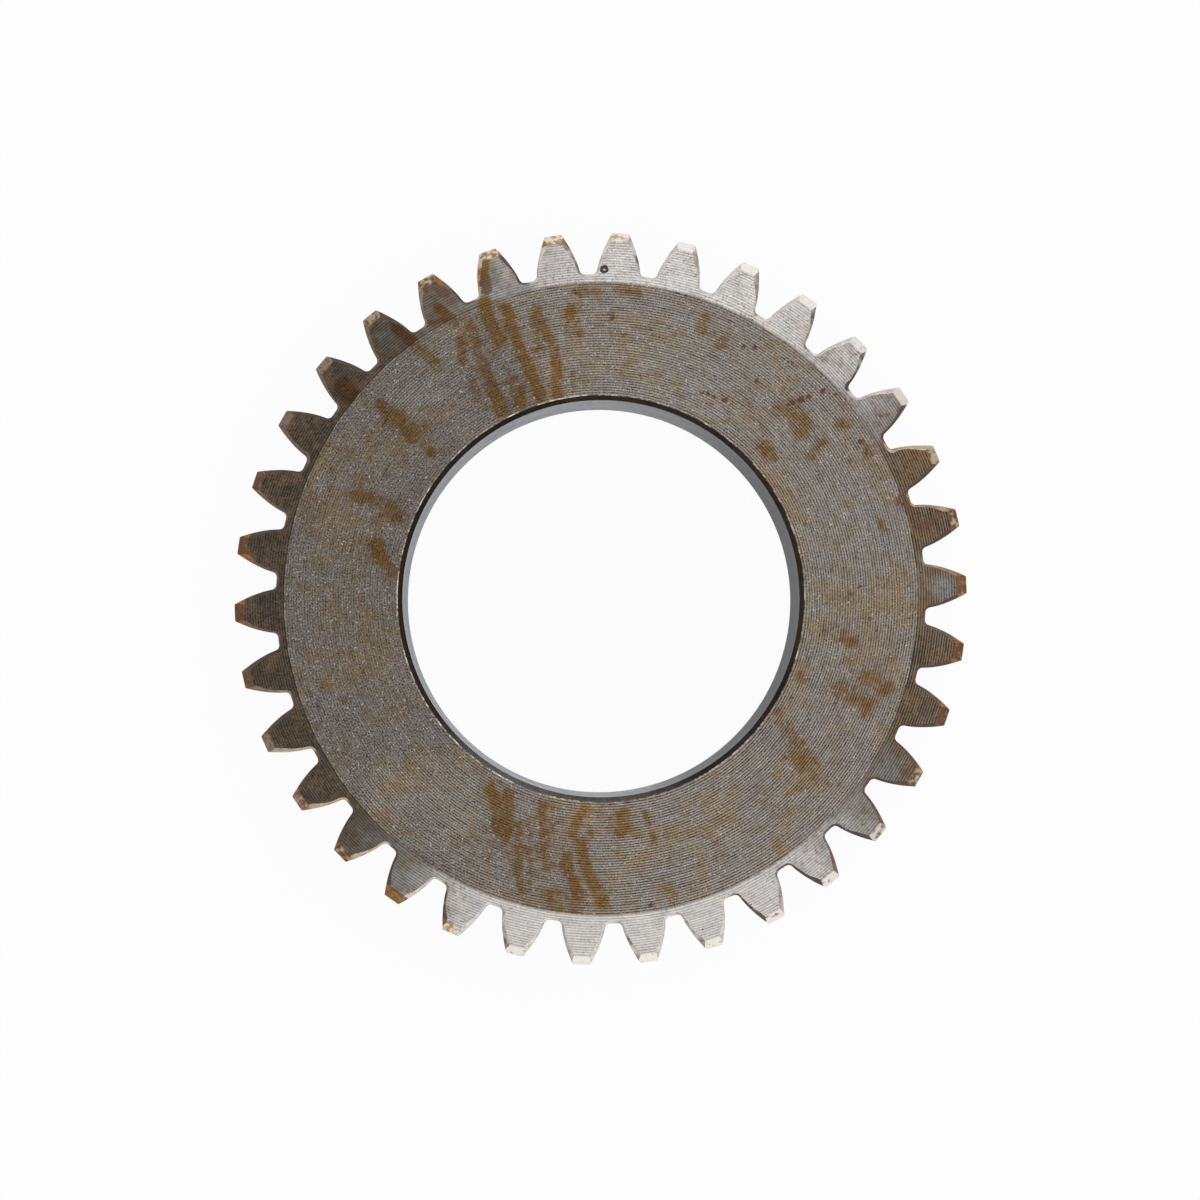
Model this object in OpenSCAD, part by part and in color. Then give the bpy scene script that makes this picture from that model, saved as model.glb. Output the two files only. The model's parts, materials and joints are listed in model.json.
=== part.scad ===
// Planet gear: a spur gear with a plain bore, turned, hobbed and ground from one steel blank.
// It lies flat on its back face. The axis is Z and the back face is at z = 0.

/* [Teeth] */
// Number of teeth
tooth_count = 34; // [28:1:44]
// Module, the pitch diameter divided by the number of teeth
gear_module = 3; // [2.8:0.05:3.4]
// Pressure angle at the pitch circle, in degrees
pressure_angle = 20; // [18:0.5:24]
// Distance that the cutter stood back from its plain depth, which thickens the teeth
cutter_shift = 1; // [0.3:0.05:1.2]
// Height of the tooth tips above the pitch circle
addendum = 3.5; // [3:0.05:3.8]
// Depth of the gaps below the pitch circle
dedendum = 2.75; // [2.4:0.05:3]
// Radius of the fillet at the foot of each flank
root_fillet = 0.8; // [0.4:0.05:0.9]

/* [Body] */
// Width of the gear over its two thrust faces
face_width = 28; // [16:0.5:50]
// Diameter of the bore
bore_d = 59; // [40:0.5:68]
// Width of the low rim between the tooth roots and the raised thrust face
root_land = 1.25; // [0.9:0.05:2.5]
// Depth of the step from the thrust face down to the toothed rim
rim_step = 0.3; // [0.1:0.05:0.8]
// Slope of the tooth ends, falling outwards, in degrees
end_slope = 6; // [2:0.5:12]

/* [Edges] */
// Chamfer at both ends of the bore
bore_chamfer = 0.75; // [0.3:0.05:1.5]
// Chamfer turned along the tooth tips at both ends
tip_chamfer = 1.3; // [0.6:0.05:2]
// Edge break along the flanks and round the tooth roots
flank_break = 0.35; // [0.15:0.05:0.5]
// Edge break at the tip corners, where it is widest
corner_break = 0.8; // [0.55:0.05:1]
// Length of flank over which the edge break widens to its corner
corner_run = 3.5; // [1.5:0.1:4.5]

/* [Hidden] */
$fn = 180;

// Facets along one flank and round one root fillet
flank_steps = 6;
fillet_steps = 3;
// How far the toothed form runs past the turned surfaces that end it
overrun = 0.15;
// Most of half the tip's thickness that an edge break may take away
corner_share = 0.6;

pitch_r = tooth_count * gear_module / 2;
base_r = pitch_r * cos(pressure_angle);
tip_r = pitch_r + addendum;
root_r = pitch_r - dedendum;
thrust_r = root_r - root_land;
bore_r = bore_d / 2;
half_width = face_width / 2;
tip_edge_r = tip_r - tip_chamfer;
degrees_per_radian = 180 / PI;

// Height of the sloping tooth end above the mid-plane, at radius r
function end_height(r) = half_width - rim_step - (r - thrust_r) * tan(end_slope);

// Half of the tooth's angle at the base circle, in degrees
pitch_thickness = PI * gear_module / 2 + 2 * cutter_shift * tan(pressure_angle);
involute_angle = tan(pressure_angle) * degrees_per_radian - pressure_angle;
base_half_angle = pitch_thickness / pitch_r / 2 * degrees_per_radian + involute_angle;

// A taut string leaves the base circle at angle a; this is the point where it has the length s
function string_point(a, s) = base_r * [cos(a), sin(a)] + s * [-sin(a), cos(a)];
function string_length(r) = sqrt(r * r - base_r * base_r);
function string_angle(s) = base_half_angle - s / base_r * degrees_per_radian;

// The root fillet touches the root circle and the flank
fillet_r = root_r + root_fillet;
fillet_string = string_length(fillet_r) - root_fillet;
fillet_angle = string_angle(fillet_string);
fillet_centre = string_point(fillet_angle, fillet_string + root_fillet);
fillet_start = atan2(fillet_centre[1], fillet_centre[0]) - 180;
fillet_end = fillet_angle - 90;
tip_string = string_length(tip_r + overrun);

// Edge break at radius r: even along the flank, then widening to the corner
function involute_at(r) = string_length(r) / base_r * degrees_per_radian - acos(base_r / r);
tip_half_thickness = tip_edge_r * sin(base_half_angle - involute_at(tip_edge_r));
widest_break = min(corner_break, corner_share * tip_half_thickness);
function widening(r) = max(0, min(1, (r - tip_edge_r + corner_run) / corner_run));
function edge_break(r) = flank_break + (widest_break - flank_break) * pow(widening(r), 2);

// Each outline vertex is its place, the direction into the metal, and its edge break
function fillet_vertex(a) = [
    fillet_centre + root_fillet * [cos(a), sin(a)],
    [cos(a), sin(a)],
    flank_break
];
function flank_vertex(s) = [
    string_point(string_angle(s), s),
    [sin(string_angle(s)), -cos(string_angle(s))],
    edge_break(norm([base_r, s]))
];
function flipped(v) = [[v[0][0], -v[0][1]], [v[1][0], -v[1][1]], v[2]];
function turned(p, a) = [p[0] * cos(a) - p[1] * sin(a), p[0] * sin(a) + p[1] * cos(a)];

// Half of a tooth from root to tip, then the whole tooth, then all of them
half_tooth = [
    for (i = [0:fillet_steps - 1]) fillet_vertex(fillet_start + (fillet_end - fillet_start) * i / fillet_steps),
    for (i = [0:flank_steps]) flank_vertex(fillet_string + (tip_string - fillet_string) * i / flank_steps)
];
half_count = len(half_tooth);
tooth = [
    for (i = [0:half_count - 1]) flipped(half_tooth[i]),
    for (i = [half_count - 1:-1:0]) half_tooth[i]
];
outline = [
    for (k = [0:tooth_count - 1], v = tooth)
        let (a = 360 * k / tooth_count)
        [turned(v[0], a), turned(v[1], a), v[2]]
];
ring_count = len(outline);

// The edge break runs from the flank, at depth v[2], up through the tooth end and past it
function at_height(p, z) = [p[0], p[1], z];
function flank_edge(v) = at_height(v[0], end_height(norm(v[0])) - v[2]);
function end_edge(v) = let (p = v[0] + v[1] * v[2]) at_height(p, end_height(norm(p)));
function past_edge(v) = end_edge(v) + (end_edge(v) - flank_edge(v)) * overrun / v[2];
function below(p) = [p[0], p[1], -p[2]];

cap_height = half_width + overrun;
flank_ring = [for (v = outline) flank_edge(v)];
past_ring = [for (v = outline) past_edge(v)];
cap_ring = [for (v = outline) at_height(past_edge(v), cap_height)];
lower_rings = [for (ring = [cap_ring, past_ring, flank_ring]) [for (p = ring) below(p)]];
rings = concat(lower_rings, [flank_ring, past_ring, cap_ring]);

// Faces between one ring and the next, and from a ring in to a centre
function band(k) = [
    for (i = [0:ring_count - 1])
        let (low = k * ring_count, high = low + ring_count, j = (i + 1) % ring_count)
        each [[low + i, high + i, high + j], [low + i, high + j, low + j]]
];
function fan(k, centre, up) = [
    for (i = [0:ring_count - 1])
        let (first = k * ring_count, j = (i + 1) % ring_count)
        up ? [centre, first + j, first + i] : [centre, first + i, first + j]
];

// Straight teeth with the edges of both ends broken, running past both thrust faces
module toothed_form() {
    top = len(rings) - 1;
    low_centre = len(rings) * ring_count;
    polyhedron(
        points = concat([for (ring = rings) each ring], [[0, 0, -cap_height], [0, 0, cap_height]]),
        faces = concat(
            fan(0, low_centre, false),
            [for (k = [0:top - 1]) each band(k)],
            fan(top, low_centre + 1, true)
        )
    );
}

// Blank as it leaves the lathe: bore, raised thrust faces, sloping rims and chamfered tips
module turned_blank() {
    rim_height = end_height(thrust_r);
    edge_height = end_height(tip_edge_r);
    tip_height = edge_height - tip_chamfer;
    mouth_r = bore_r + bore_chamfer;
    wall_height = half_width - bore_chamfer;
    rotate_extrude()
        polygon([
            [bore_r, -wall_height],
            [mouth_r, -half_width],
            [thrust_r, -half_width],
            [thrust_r, -rim_height],
            [tip_edge_r, -edge_height],
            [tip_r, -tip_height],
            [tip_r, tip_height],
            [tip_edge_r, edge_height],
            [thrust_r, rim_height],
            [thrust_r, half_width],
            [mouth_r, half_width],
            [bore_r, wall_height]
        ]);
}

module planet_gear() {
    color([0.47, 0.46, 0.43])
        translate([0, 0, half_width])
            intersection() {
                turned_blank();
                toothed_form();
            }
}

planet_gear();
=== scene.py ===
import json
import math

import bmesh
import bpy
import numpy as np
from mathutils import Matrix, Vector


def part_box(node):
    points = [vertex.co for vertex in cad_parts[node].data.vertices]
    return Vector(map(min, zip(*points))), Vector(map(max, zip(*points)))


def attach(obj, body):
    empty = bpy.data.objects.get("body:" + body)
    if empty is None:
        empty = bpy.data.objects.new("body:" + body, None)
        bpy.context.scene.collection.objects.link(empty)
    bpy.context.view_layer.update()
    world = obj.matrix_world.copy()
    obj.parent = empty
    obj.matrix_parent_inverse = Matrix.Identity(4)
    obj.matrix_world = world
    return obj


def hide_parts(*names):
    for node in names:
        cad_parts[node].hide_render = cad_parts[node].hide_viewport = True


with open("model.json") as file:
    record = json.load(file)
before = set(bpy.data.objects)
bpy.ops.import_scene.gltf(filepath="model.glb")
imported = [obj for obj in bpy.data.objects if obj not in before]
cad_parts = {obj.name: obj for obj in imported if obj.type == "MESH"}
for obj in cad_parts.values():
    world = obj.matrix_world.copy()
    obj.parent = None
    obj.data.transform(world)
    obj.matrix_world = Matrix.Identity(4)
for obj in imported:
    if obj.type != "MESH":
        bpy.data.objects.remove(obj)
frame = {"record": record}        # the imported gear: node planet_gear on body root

# The gear's sizes, in millimetres. The bore and the width come from the frame.
MM = 0.001
NODE = "planet_gear"
BODY = "root"
MOUNTS = {mount["name"]: mount for mount in frame["record"]["mounts"]}
LOW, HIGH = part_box(NODE)
HALF_WIDTH = (HIGH.z - LOW.z) / 2 / MM
BORE_R = MOUNTS["bore"]["dims"]["r_mm"]
TEETH = 34
MODULE = 3.0
PRESSURE_ANGLE = math.radians(20)
CUTTER_SHIFT = 1.0
ADDENDUM = 3.5
DEDENDUM = 2.75
ROOT_FILLET = 0.8
ROOT_LAND = 1.25
RIM_STEP = 0.3
END_SLOPE = math.tan(math.radians(6))
BORE_CHAMFER = 0.75
TIP_CHAMFER = 1.3
FLANK_BREAK = 0.35
CORNER_BREAK = 0.8
CORNER_RUN = 3.5

PITCH = 2 * math.pi / TEETH
PITCH_R = TEETH * MODULE / 2
BASE_R = PITCH_R * math.cos(PRESSURE_ANGLE)
TIP_R = PITCH_R + ADDENDUM
ROOT_R = PITCH_R - DEDENDUM
THRUST_R = ROOT_R - ROOT_LAND
TIP_EDGE_R = TIP_R - TIP_CHAMFER
MOUTH_R = BORE_R + BORE_CHAMFER
WALL_HEIGHT = HALF_WIDTH - BORE_CHAMFER

# Mesh density: columns across a tooth and a gap, rows up a flank, and rings on the front and back faces
TOOTH_COLUMNS = 18
GAP_COLUMNS = 2
FILLET_ROWS = 4
FLANK_ROWS = 11
CHAMFER_ROWS = 3
TIP_ROW = FILLET_ROWS + FLANK_ROWS
THRUST_RINGS = {1: 36, -1: 16}

# Where the rows of points lie between two edges, as fractions of the way
RIM_FRACTIONS = (0.35, 0.7)
BORE_FRACTIONS = (0.1, 0.3, 0.5, 0.7, 0.9)
FLANK_FRACTIONS = (0.02, 0.12, 0.3, 0.5, 0.7, 0.88, 0.98)

# Width of the rounded lips, in mm, and how unevenly and how fully the tooth edges are broken
SOFT_EDGE = 0.07
BREAK_WAVER = 0.16
BREAK_KNOTS = 6
BREAK_BULGE = 0.08

# Points closer than this many metres are one; edges that turn more than this angle stay sharp
MERGE = 1e-7
SHARP_ANGLE = math.radians(28)
SEED = 34

# The photograph's frame: the gear's centre in it, its scale, and how far the teeth are turned
CENTRE_PX = (600.9, 598.3)
MM_PER_PX = 0.1482
TOOTH_TURN = math.radians(2.218)

# Camera, in mm along the photograph's axes: the point below it, its height over the front face, the
# point that it looks at and how deep under the front face that lies, and its lens
CAMERA_FOOT = (-7.40, -9.40)
CAMERA_RISE = 676.3
CAMERA_AIM = (-0.14, -0.19)
AIM_DEPTH = 2.0
LENS = 136.77

# Soft boxes: name, compass direction and height in degrees, distance and side in metres, power in watts
SOFT_BOXES = [
    ("box_top", 68, 47, 1.1, 1.0, 2.7),
    ("box_bottom", 275, 47, 1.1, 1.0, 2.5),
    ("box_right", 5, 50, 1.2, 0.8, 1.3),
]
WHITE = (1, 1, 1, 1)
WORLD_LIGHT = 0.6

# The floor's half side in metres, its colour where light falls on it, the share of white that the
# camera sees over its shadow, and how far it lies under the back face, in mm, so that the two don't
# share a plane
FLOOR_HALF = 1.5
FLOOR_COLOUR = (0.9, 0.9, 0.9, 1)
FLOOR_WHITE = 0.95
FLOOR_GAP = 0.05

# Distance between the lathe marks, in mm, the quarter turn of the highlights that they stretch, and
# the strength of every bump
FEED = 0.385
HIGHLIGHT_TURN = 0.25
BUMP_STRENGTH = 0.7

# Tints that patches and stains lay over the steel
COOL = (1.0, 0.965, 0.915, 1.0)
WARM = (0.965, 0.81, 0.565, 1.0)
OCHRE = (0.7, 0.42, 0.085, 1.0)
FLECK = (0.74, 0.58, 0.4, 1.0)

# A painted stroke fades out over the last half width before STROKE_END, and its faint halo thins out up
# to HALO_END. Both are counted in half widths from its middle. A dot is a stroke of this length, in mm.
STROKE_END = 1.75
HALO_END = 3.5
HALO_STRENGTH = 0.45
DOT_LENGTH = 0.01

# Stains and rust spots of the back, drawn at random: their count, longest reach, half widths and strengths
BACK_STAINS = (46, 50, (3, 7), (0.4, 0.9))
BACK_RUST = (30, 8, (2, 5), (0.5, 1.0))
BACK_RADII_PX = (215, 350)
SHORTEST_PX = 4
LEAN = 0.5

# How far below the tip chamfer, in mm, the tip's rust fades out
TIP_FADE = 0.5

# So many half widths from a small mark, nothing of it shows
FAR = 100.0

# Ochre stains on the front: half width in px, strength, then the pixels that the stain runs through
STAINS = [
    (6, 0.95, (485, 303), (488, 318), (495, 332), (499, 340)),
    (5, 0.85, (506, 308), (510, 322), (515, 338), (524, 362), (530, 372), (538, 386), (541, 398)),
    (5, 0.55, (533, 308), (536, 325), (538, 345), (541, 350)),
    (4, 0.7, (470, 322), (474, 338), (479, 356), (485, 370), (491, 382)),
    (6, 0.9, (491, 382), (496, 396), (503, 412)),
    (4, 0.75, (460, 340), (462, 360)),
    (4.5, 0.85, (552, 338), (555, 352), (556, 370), (557, 395)),
    (2.5, 0.6, (572, 372), (573, 392)),
    (5, 0.6, (420, 350), (430, 358), (438, 368)),
    (3, 0.7, (430, 322), (455, 316)),
    (6, 0.5, (565, 318), (575, 308)),
    (6, 0.5, (568, 330), (577, 326)),
    (4, 0.6, (575, 292), (600, 292)),
    (4, 0.7, (618, 288), (638, 292)),
    (5, 0.5, (612, 315)),
    (7, 0.75, (517, 383), (520, 403)),
    (4, 0.55, (506, 366)),
    (4, 0.5, (470, 380), (478, 395), (484, 408)),
    (6, 0.9, (388, 414), (400, 420), (414, 432)),
    (4, 0.75, (424, 446), (432, 453)),
    (6, 0.75, (356, 496), (378, 500), (390, 510), (400, 517)),
    (6, 0.95, (376, 545), (380, 558)),
    (5, 0.7, (388, 566), (396, 574)),
    (5, 0.9, (490, 787), (495, 800), (498, 815), (497, 830)),
    (5, 0.9, (508, 795), (507, 815), (505, 835)),
    (4, 0.7, (519, 825), (520, 850), (518, 870), (521, 890)),
    (3.5, 0.5, (527, 828), (528, 850), (530, 870), (526, 895)),
    (4, 0.7, (542, 805), (543, 825), (545, 850), (547, 865)),
    (3, 0.5, (551, 800), (552, 830)),
    (4, 0.7, (588, 803), (578, 818), (572, 835)),
    (5, 0.75, (567, 855), (568, 870), (575, 885), (577, 895)),
    (5.5, 0.85, (580, 840), (583, 860), (592, 880), (598, 893), (604, 905)),
    (6, 0.6, (547, 898), (556, 905)),
    (5, 0.6, (560, 895), (572, 906)),
    (7, 0.75, (623, 815), (621, 830)),
    (4, 0.4, (612, 820)),
    (2.5, 0.6, (644, 812), (651, 832), (655, 842)),
    (5, 0.45, (662, 880), (672, 895)),
    (3, 0.4, (588, 828), (592, 840)),
    (4, 0.45, (487, 855)),
    (6, 0.6, (705, 318), (702, 330)),
    (5, 0.6, (719, 345), (724, 340)),
    (9, 0.7, (792, 408), (802, 426)),
    (4, 0.65, (826, 440), (816, 448), (811, 456)),
    (5, 0.55, (840, 426), (850, 422)),
    (6, 0.65, (764, 446), (772, 456)),
    (5, 0.5, (860, 445), (872, 450)),
    (7, 0.65, (845, 636), (852, 642)),
    (8, 0.65, (868, 676), (886, 688)),
    (9, 0.6, (842, 690), (866, 704)),
    (3, 0.8, (801, 674), (804, 680)),
    (5, 0.55, (778, 714), (788, 728), (794, 740)),
    (11, 0.55, (796, 750), (808, 768)),
    (6, 0.45, (760, 790)),
    (5, 0.4, (802, 790)),
    (3, 0.6, (850, 595)),
    (3, 0.5, (878, 520), (884, 530)),
    (9, 0.35, (310, 500), (318, 508)),
    (5, 0.8, (535, 310), (547, 335)),
    (4, 0.7, (571, 306), (580, 331)),
    (5, 0.8, (380, 404), (396, 420), (412, 437)),
    (5, 0.95, (396, 326), (412, 341)),
    (7, 0.95, (343, 385), (349, 395)),
    (3, 0.8, (486, 258), (482, 282)),
    (4, 0.7, (438, 306), (452, 318)),
]

# Dark rust spots on the front, in the same form as the stains
RUST_SPOTS = [
    (6, 0.95, (436, 284), (444, 290)),
    (6, 0.75, (480, 274), (486, 288)),
    (3, 0.9, (248, 554), (254, 556)),
    (3, 0.6, (866, 450)),
    (5, 0.6, (884, 412)),
    (5, 0.55, (878, 424)),
    (5, 0.7, (905, 497), (909, 505)),
    (5, 0.6, (925, 526), (938, 515)),
    (5, 0.6, (931, 631), (927, 640)),
    (5, 0.7, (931, 703)),
    (4, 0.6, (905, 772)),
    (3, 0.5, (929, 592)),
    (2.5, 0.25, (478, 335), (485, 362), (494, 392)),
]

# Small dark marks on the front: half width in px, then the pixel
SPOTS = [
    (1.6, 702, 391), (1.4, 708, 393), (1.5, 714, 396), (2.3, 725, 399), (2.6, 801, 399), (2.0, 793, 402),
    (1.6, 788, 405), (2.0, 809, 396), (2.2, 861, 441), (1.4, 867, 450), (2.3, 878, 433), (2.0, 755, 347),
    (1.5, 744, 345), (1.8, 884, 412), (2.6, 906, 501), (1.8, 823, 390), (1.8, 836, 394), (1.8, 678, 291),
    (1.4, 686, 294), (1.6, 575, 291), (1.4, 612, 318), (1.6, 473, 912), (1.4, 651, 905), (1.5, 757, 380),
]

# A ring-shaped pit on a tooth: its pixel and its radius in px
RING_PIT = ((604, 268), 2.7)

# Chips out of the tooth edges: the pixel, how far the chip reaches in px, and its depth in mm
CHIPS = [
    ((303, 456), 4, 0.45), ((298, 446), 3, 0.4), ((306, 464), 3, 0.3),
    ((361, 367), 3, 0.3), ((893, 447), 4, 0.3), ((848, 386), 5, 0.3),
    ((823, 356), 4, 0.3), ((778, 893), 4, 0.3), ((559, 263), 3, 0.3),
]

# Brown film and painted shade on each tooth, from the tooth at the right round over the top; low values paint
# the highlights at the top and bottom
FILM_AND_SHADE = [
    0.6, 0.92, 0.84, 0.45, 0.28, 0.15, 0.03, 0.02, 0.06, 0.2, 0.42, 0.62, 0.8, 0.9, 0.95, 0.95, 0.97,
    1.0, 0.95, 0.92, 0.88, 0.76, 0.52, 0.2, 0.05, 0.0, 0.0, 0.03, 0.1, 0.22, 0.46, 0.7, 0.88, 0.9,
]

# Rust on each tooth's tip, from the tooth at the right round over the top
TIP_RUST = [
    0.9, 0.7, 0.45, 0.0, 0.2, 0.1, 0.15, 0.25, 0.45, 0.6, 0.5, 0.6, 0.45, 0.4, 0.45, 0.75, 0.8,
    0.9, 0.7, 0.45, 0.5, 0.65, 1.0, 0.55, 0.25, 0.15, 0.2, 0.25, 0.35, 0.25, 0.5, 0.6, 0.9, 0.9,
]

# Zones of the surface, each with a material of its own
THRUST, RIM, TIP, BREAK, MOUTH, WALL, FLANK, LIP = range(8)


def from_image(across, up):
    """Turns a place along the photograph's axes into the gear's own axes."""
    cos, sin = math.cos(-TOOTH_TURN), math.sin(-TOOTH_TURN)
    return across * cos - up * sin, across * sin + up * cos


def from_photo(x, y):
    """Place on the gear, in mm, of a pixel of the photograph."""
    return from_image((x - CENTRE_PX[0]) * MM_PER_PX, (CENTRE_PX[1] - y) * MM_PER_PX)


def polar(r, angle):
    return np.stack([r * np.cos(angle), r * np.sin(angle)], -1)


def end_height(r):
    """Height of the toothed end above the mid-plane, out to the foot of the tip chamfer."""
    rim = HALF_WIDTH - RIM_STEP - (np.minimum(r, TIP_EDGE_R) - THRUST_R) * END_SLOPE
    return rim - np.maximum(r - TIP_EDGE_R, 0)


class Flank:
    """Rows up one side of a tooth, from root to tip, for the tooth on the X axis."""

    def __init__(self):
        half_angle = (math.pi * MODULE / 2 + 2 * CUTTER_SHIFT * math.tan(PRESSURE_ANGLE)) / PITCH_R / 2
        half_angle += math.tan(PRESSURE_ANGLE) - PRESSURE_ANGLE
        fillet_r = ROOT_R + ROOT_FILLET
        fillet_string = math.sqrt(fillet_r**2 - BASE_R**2) - ROOT_FILLET
        lean = half_angle - fillet_string / BASE_R
        centre = self.string_point(lean, fillet_string + ROOT_FILLET)
        first = math.atan2(centre[1], centre[0]) - math.pi
        turn = np.linspace(first, lean - math.pi / 2, FILLET_ROWS, endpoint=False)
        into = np.stack([np.cos(turn), np.sin(turn)], -1)
        foot_r = math.hypot(BASE_R, fillet_string)
        radii = np.concatenate([
            np.linspace(foot_r, TIP_EDGE_R, FLANK_ROWS, endpoint=False),
            np.linspace(TIP_EDGE_R, TIP_R, CHAMFER_ROWS + 1),
        ])
        string = np.sqrt(radii**2 - BASE_R**2)
        angle = half_angle - string / BASE_R
        self.root_angle = math.atan2(centre[1], centre[0])
        self.place = np.concatenate([centre + ROOT_FILLET * into, self.string_point(angle, string)])
        self.into = np.concatenate([into, np.stack([np.sin(angle), -np.cos(angle)], -1)])
        self.radius = np.linalg.norm(self.place, axis=-1)
        run = np.clip((self.radius - TIP_EDGE_R + CORNER_RUN) / CORNER_RUN, 0, 1)
        self.edge_break = FLANK_BREAK + (CORNER_BREAK - FLANK_BREAK) * run**2

    @staticmethod
    def string_point(angle, length):
        """End of a taut string of that length that leaves the base circle at that angle."""
        angle, length = np.asarray(angle), np.asarray(length)
        x = BASE_R * np.cos(angle) - length * np.sin(angle)
        y = BASE_R * np.sin(angle) + length * np.cos(angle)
        return np.stack([x, y], -1)


class Skin:
    """Points and four-sided faces of the gear's surface, gathered sheet by sheet."""

    def __init__(self):
        self.points, self.faces, self.zones, self.count = [], [], [], 0

    def add(self, xy, z):
        """Adds points and returns their numbers in an array of the same layout."""
        z = np.broadcast_to(z, xy.shape[:-1])
        block = np.concatenate([xy, z[..., None]], -1)
        self.points.append(block.reshape(-1, 3))
        numbers = np.arange(self.count, self.count + z.size).reshape(z.shape)
        self.count += z.size
        return numbers

    def sheet(self, rows, zone, wrap=False):
        """Faces between neighbouring rows and columns of a table of point numbers."""
        rows = np.asarray(rows)
        if wrap:
            rows = np.concatenate([rows, rows[:, :1]], 1)
        corners = [rows[:-1, :-1], rows[:-1, 1:], rows[1:, 1:], rows[1:, :-1]]
        quads = np.stack([c.ravel() for c in corners], -1)
        self.faces.append(quads)
        self.zones.append(np.full(len(quads), zone))


def smooth_noise(random, shape, knots):
    """Random values along the last axis, eased between a few knots, from about -1 to 1."""
    values = random.uniform(-1, 1, (*shape[:-1], knots))
    at = np.linspace(0, knots - 1, shape[-1])
    left = np.minimum(at.astype(int), knots - 2)
    part = at - left
    part = part * part * (3 - 2 * part)
    return values[..., left] * (1 - part) + values[..., left + 1] * part


def ring_angles(root_angle):
    """Angles of all columns round the gear: those under each tooth, then those of the gap."""
    tooth = np.linspace(-root_angle, root_angle, TOOTH_COLUMNS + 1)
    gap = np.linspace(root_angle, PITCH - root_angle, GAP_COLUMNS + 1)[1:-1]
    one = np.concatenate([tooth, gap])
    return (np.arange(TEETH)[:, None] * PITCH + one[None, :]).ravel()


def rotated(xy, turn):
    cos, sin = np.cos(turn), np.sin(turn)
    return np.stack([xy[..., 0] * cos - xy[..., 1] * sin, xy[..., 0] * sin + xy[..., 1] * cos], -1)


def build_turned(skin, angles, side):
    """Bore mouth, thrust face and step of one end.

    Returns the ring where the bore wall starts and the ring at the foot of the step."""
    mouth = [
        (BORE_R, WALL_HEIGHT),
        (BORE_R + BORE_CHAMFER / 2, WALL_HEIGHT + BORE_CHAMFER / 2),
        (MOUTH_R - SOFT_EDGE, HALF_WIDTH - SOFT_EDGE),
    ]
    mouth_rings = [skin.add(polar(r, angles), side * z) for r, z in mouth]
    radii = np.linspace(MOUTH_R + SOFT_EDGE, THRUST_R - SOFT_EDGE, THRUST_RINGS[side])
    thrust_rings = [skin.add(polar(r, angles), side * HALF_WIDTH) for r in radii]
    skin.sheet(mouth_rings, MOUTH, wrap=True)
    skin.sheet([mouth_rings[-1], thrust_rings[0]], LIP, wrap=True)
    skin.sheet(thrust_rings, THRUST, wrap=True)

    step = [(THRUST_R, HALF_WIDTH - SOFT_EDGE), (THRUST_R, HALF_WIDTH - RIM_STEP)]
    step_rings = [skin.add(polar(r, angles), side * z) for r, z in step]
    skin.sheet([thrust_rings[-1], step_rings[0]], LIP, wrap=True)
    skin.sheet(step_rings, RIM, wrap=True)
    return mouth_rings[0], step_rings[-1]


def break_edges(flank, turn, side, random):
    """Edge breaks along both flanks of every tooth.

    Returns the flanks' places, their directions into the metal, and how far each edge is broken."""
    mirror = np.array([[1.0, -1.0], [1.0, 1.0]])
    place = rotated((flank.place * mirror[:, None, :])[None], turn)
    into = rotated((flank.into * mirror[:, None, :])[None], turn)
    waver = smooth_noise(random, (TEETH, 2, len(flank.place)), BREAK_KNOTS)
    cut = flank.edge_break * (1 + BREAK_WAVER * waver)
    if side > 0:
        for pixel, reach, depth in CHIPS:
            away = np.linalg.norm(place - from_photo(*pixel), axis=-1)
            cut = cut + depth * np.exp(-(away / (reach * MM_PER_PX))**2)

    # The break runs out over the tip chamfer, which has already lowered the end
    beyond = np.maximum(flank.radius - TIP_EDGE_R, 0) * (1 - END_SLOPE)
    return place, into, np.maximum(cut - beyond, 0)


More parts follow.
